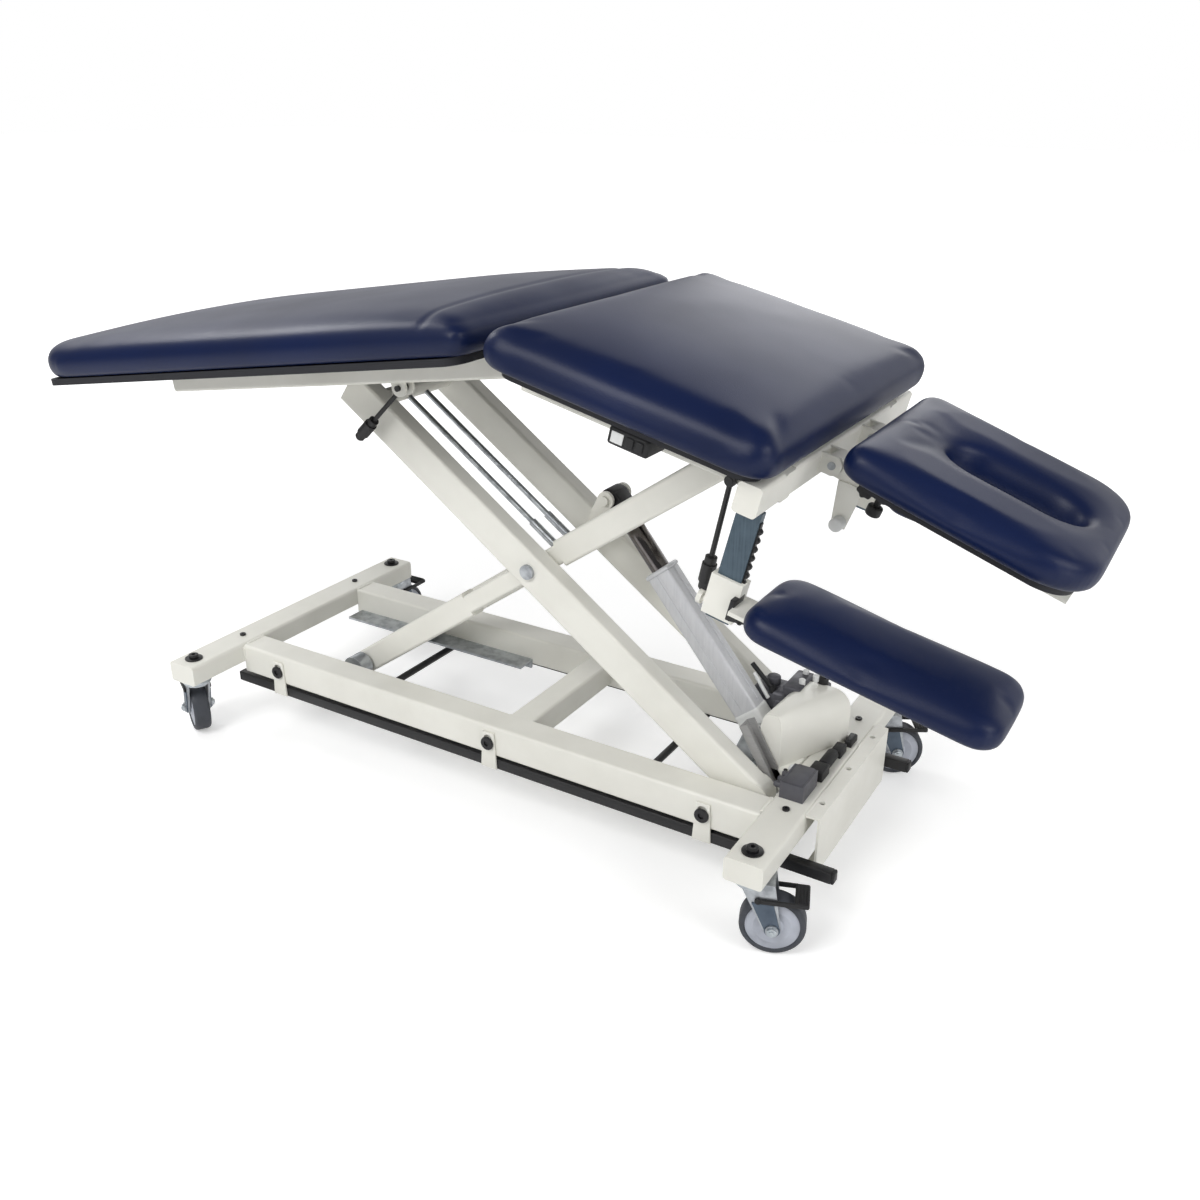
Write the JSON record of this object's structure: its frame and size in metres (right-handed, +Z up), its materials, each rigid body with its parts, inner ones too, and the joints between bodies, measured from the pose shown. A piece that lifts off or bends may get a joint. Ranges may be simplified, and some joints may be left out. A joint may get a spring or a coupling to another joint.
{
  "type": "chiropractic table",
  "caption": "Padded treatment table with a raised peak, face section, drop armrests and a crossed-arm lift on swivel castors",
  "frame": {"origin": "on the floor under the middle of the base", "axes": "+X to the head end, +Y to the far side, +Z up"},
  "size_m": [1.9049, 0.7605, 0.9041],
  "materials": {
    "cream": "satin powder coat, off-white",
    "vinyl": "padded upholstery vinyl, navy, soft sheen",
    "wood": "plywood board",
    "steel": "zinc-plated steel",
    "chrome": "polished chrome",
    "aluminium": "clear anodised",
    "post_blue": "blue-grey steel, satin",
    "black_metal": "black powder coat",
    "black_plastic": "moulded black plastic",
    "wheel_grey": "grey castor tread"
  },
  "bodies": {
    "base": {"side_rails": "cream", "foot_beam": "cream", "head_beam": "cream", "middle_tie": "cream", "head_channel": "cream", "roller_tracks": "steel", "pivot_pins": "steel", "frame_bolts": "black_metal", "motor_cover": "cream", "control_box": "black_plastic", "actuator_mount": "steel"},
    "foot_bar": {"foot_bar": "black_metal"},
    "main_arms": {"near_arm": "cream", "far_arm": "cream", "arm_tie": "cream", "mid_shaft": "steel", "stay_rods": "steel"},
    "link_arms": {"near_link": "cream", "far_link": "cream", "link_tie": "cream"},
    "rollers": {"rollers": "steel"},
    "actuator_tube": {"actuator_tube": "aluminium"},
    "actuator_rod": {"actuator_rod": "chrome"},
    "crosshead": {"crosshead": "cream", "crosshead_shaft": "steel"},
    "strut_cylinder": {"strut_cylinder": "black_plastic"},
    "strut_rod": {"strut_rod": "steel"},
    "seat_section": {"seat_rails": "cream", "seat_crossbars": "cream", "seat_board": "wood", "seat_cushion": "vinyl", "hand_switch": "black_plastic", "hinge_pins": "steel", "arm_posts": "post_blue"},
    "leg_section": {"leg_rails": "cream", "leg_crossbars": "cream", "leg_board": "wood", "leg_cushion": "vinyl"},
    "leg_lever": {"leg_lever": "black_plastic"},
    "head_lever": {"head_lever": "black_plastic"},
    "head_section": {"head_rails": "cream", "head_board": "wood", "head_cushion": "vinyl"},
    "head_knob": {"head_knob": "black_plastic"},
    "near_armrest": {"near_sleeve": "cream", "near_pad": "vinyl"},
    "far_armrest": {"far_sleeve": "cream", "far_pad": "vinyl"},
    "castor_1": {"castor_fork_1": "steel"},
    "wheel_1": {"castor_wheel_1": "wheel_grey"},
    "pedal_1": {"brake_pedal_1": "black_plastic"},
    "castor_2": {"castor_fork_2": "steel"},
    "wheel_2": {"castor_wheel_2": "wheel_grey"},
    "pedal_2": {"brake_pedal_2": "black_plastic"},
    "castor_3": {"castor_fork_3": "steel"},
    "wheel_3": {"castor_wheel_3": "wheel_grey"},
    "pedal_3": {"brake_pedal_3": "black_plastic"},
    "castor_4": {"castor_fork_4": "steel"},
    "wheel_4": {"castor_wheel_4": "wheel_grey"},
    "pedal_4": {"brake_pedal_4": "black_plastic"}
  },
  "joints": [
    {"name": "lift", "type": "hinge", "parent": "base", "child": "main_arms", "pos_m": [0.521, 0, 0.146], "axis": [0, 1, 0], "range_deg": [-16, 18]},
    {"name": "link_pivot", "type": "hinge", "parent": "main_arms", "child": "link_arms", "pos_m": [0.09061, 0, 0.45186], "axis": [0, 1, 0], "range_deg": [-37, 33]},
    {"name": "roller_spin", "type": "hinge", "parent": "link_arms", "child": "rollers", "pos_m": [-0.33977, 0, 0.146], "axis": [0, 1, 0], "continuous": true},
    {"name": "crosshead_pivot", "type": "hinge", "parent": "link_arms", "child": "crosshead", "pos_m": [0.46394, 0, 0.71717], "axis": [0, 1, 0], "range_deg": [-17, 19]},
    {"name": "actuator_tilt", "type": "hinge", "parent": "base", "child": "actuator_tube", "pos_m": [0.48, 0, 0.202], "axis": [0, 1, 0], "range_deg": [-18, 20]},
    {"name": "actuator_extend", "type": "slide", "parent": "actuator_tube", "child": "actuator_rod", "axis": [-0.6327, 0, 0.7744], "range_m": [-0.08, 0.09]},
    {"name": "peak_tilt", "type": "hinge", "parent": "crosshead", "child": "seat_section", "pos_m": [0.46394, 0, 0.71717], "axis": [0, 1, 0], "range_deg": [-14, 3.8]},
    {"name": "leg_hinge", "type": "hinge", "parent": "seat_section", "child": "leg_section", "pos_m": [0.13148, 0, 0.81929], "axis": [0, 1, 0], "range_deg": [-5.05, 22.2]},
    {"name": "strut_tilt", "type": "hinge", "parent": "crosshead", "child": "strut_cylinder", "pos_m": [0.44394, 0, 0.64217], "axis": [0, 1, 0], "range_deg": [-14, 4]},
    {"name": "strut_extend", "type": "slide", "parent": "strut_cylinder", "child": "strut_rod", "axis": [-0.8384, 0, 0.5451], "range_m": [-0.02, 0.006]},
    {"name": "head_tilt", "type": "hinge", "parent": "seat_section", "child": "head_section", "pos_m": [0.59833, 0, 0.71647], "axis": [0, 1, 0], "range_deg": [-34, 22]},
    {"name": "head_knob_turn", "type": "hinge", "parent": "head_section", "child": "head_knob", "pos_m": [0.65659, -0.1003, 0.69526], "axis": [0, 1, 0], "continuous": true},
    {"name": "leg_lever_pull", "type": "hinge", "parent": "leg_section", "child": "leg_lever", "pos_m": [-0.1343, -0.163, 0.74581], "axis": [0, 1, 0], "range_deg": [-18, 8], "stiffness_Nm_per_rad": 2},
    {"name": "head_lever_pull", "type": "hinge", "parent": "seat_section", "child": "head_lever", "pos_m": [0.507, -0.246, 0.71683], "axis": [0, 1, 0], "range_deg": [-18, 14], "stiffness_Nm_per_rad": 2},
    {"name": "near_armrest_height", "type": "slide", "parent": "seat_section", "child": "near_armrest", "axis": [0.2284, 0, 0.9736], "range_m": [-0.004, 0.075]},
    {"name": "far_armrest_height", "type": "slide", "parent": "seat_section", "child": "far_armrest", "axis": [0.2284, 0, 0.9736], "range_m": [-0.004, 0.075]},
    {"name": "foot_bar_press", "type": "slide", "parent": "base", "child": "foot_bar", "axis": [0, 0, 1], "range_m": [-0.008, 0], "stiffness_N_per_m": 9000, "springref_m": 0.008},
    {"name": "castor_1_swivel", "type": "hinge", "parent": "base", "child": "castor_1", "pos_m": [0.598, -0.295, 0.141], "axis": [0, 0, 1], "continuous": true},
    {"name": "wheel_1_roll", "type": "hinge", "parent": "castor_1", "child": "wheel_1", "pos_m": [0.63371, -0.282, 0.051], "axis": [-0.342, 0.9397, 0], "continuous": true},
    {"name": "pedal_1_press", "type": "hinge", "parent": "castor_1", "child": "pedal_1", "pos_m": [0.61116, -0.29021, 0.102], "axis": [-0.342, 0.9397, 0], "range_deg": [-6, 0]},
    {"name": "castor_2_swivel", "type": "hinge", "parent": "base", "child": "castor_2", "pos_m": [0.598, 0.295, 0.141], "axis": [0, 0, 1], "continuous": true},
    {"name": "wheel_2_roll", "type": "hinge", "parent": "castor_2", "child": "wheel_2", "pos_m": [0.63091, 0.314, 0.051], "axis": [-0.5, 0.866, 0], "continuous": true},
    {"name": "pedal_2_press", "type": "hinge", "parent": "castor_2", "child": "pedal_2", "pos_m": [0.61012, 0.302, 0.102], "axis": [-0.5, 0.866, 0], "range_deg": [-6, 0]},
    {"name": "castor_3_swivel", "type": "hinge", "parent": "base", "child": "castor_3", "pos_m": [-0.598, -0.295, 0.141], "axis": [0, 0, 1], "continuous": true},
    {"name": "wheel_3_roll", "type": "hinge", "parent": "castor_3", "child": "wheel_3", "pos_m": [-0.63091, -0.276, 0.051], "axis": [-0.5, -0.866, 0], "continuous": true},
    {"name": "pedal_3_press", "type": "hinge", "parent": "castor_3", "child": "pedal_3", "pos_m": [-0.61012, -0.288, 0.102], "axis": [-0.5, -0.866, 0], "range_deg": [-6, 0]},
    {"name": "castor_4_swivel", "type": "hinge", "parent": "base", "child": "castor_4", "pos_m": [-0.598, 0.295, 0.141], "axis": [0, 0, 1], "continuous": true},
    {"name": "wheel_4_roll", "type": "hinge", "parent": "castor_4", "child": "wheel_4", "pos_m": [-0.598, 0.333, 0.051], "axis": [-1, 0, 0], "continuous": true},
    {"name": "pedal_4_press", "type": "hinge", "parent": "castor_4", "child": "pedal_4", "pos_m": [-0.598, 0.309, 0.102], "axis": [-1, 0, 0], "range_deg": [-6, 0]}
  ],
  "couplings": [
    {"joint": "link_pivot", "follows": "lift", "ratio": -2},
    {"joint": "crosshead_pivot", "follows": "lift", "ratio": 1},
    {"joint": "actuator_tilt", "follows": "lift", "ratio": 1.039},
    {"joint": "actuator_extend", "follows": "lift", "m_per_rad": 0.2712},
    {"joint": "peak_tilt", "follows": "leg_hinge", "ratio": -0.5945},
    {"joint": "strut_tilt", "follows": "leg_hinge", "ratio": -0.554},
    {"joint": "strut_extend", "follows": "leg_hinge", "m_per_rad": -0.04471}
  ]
}
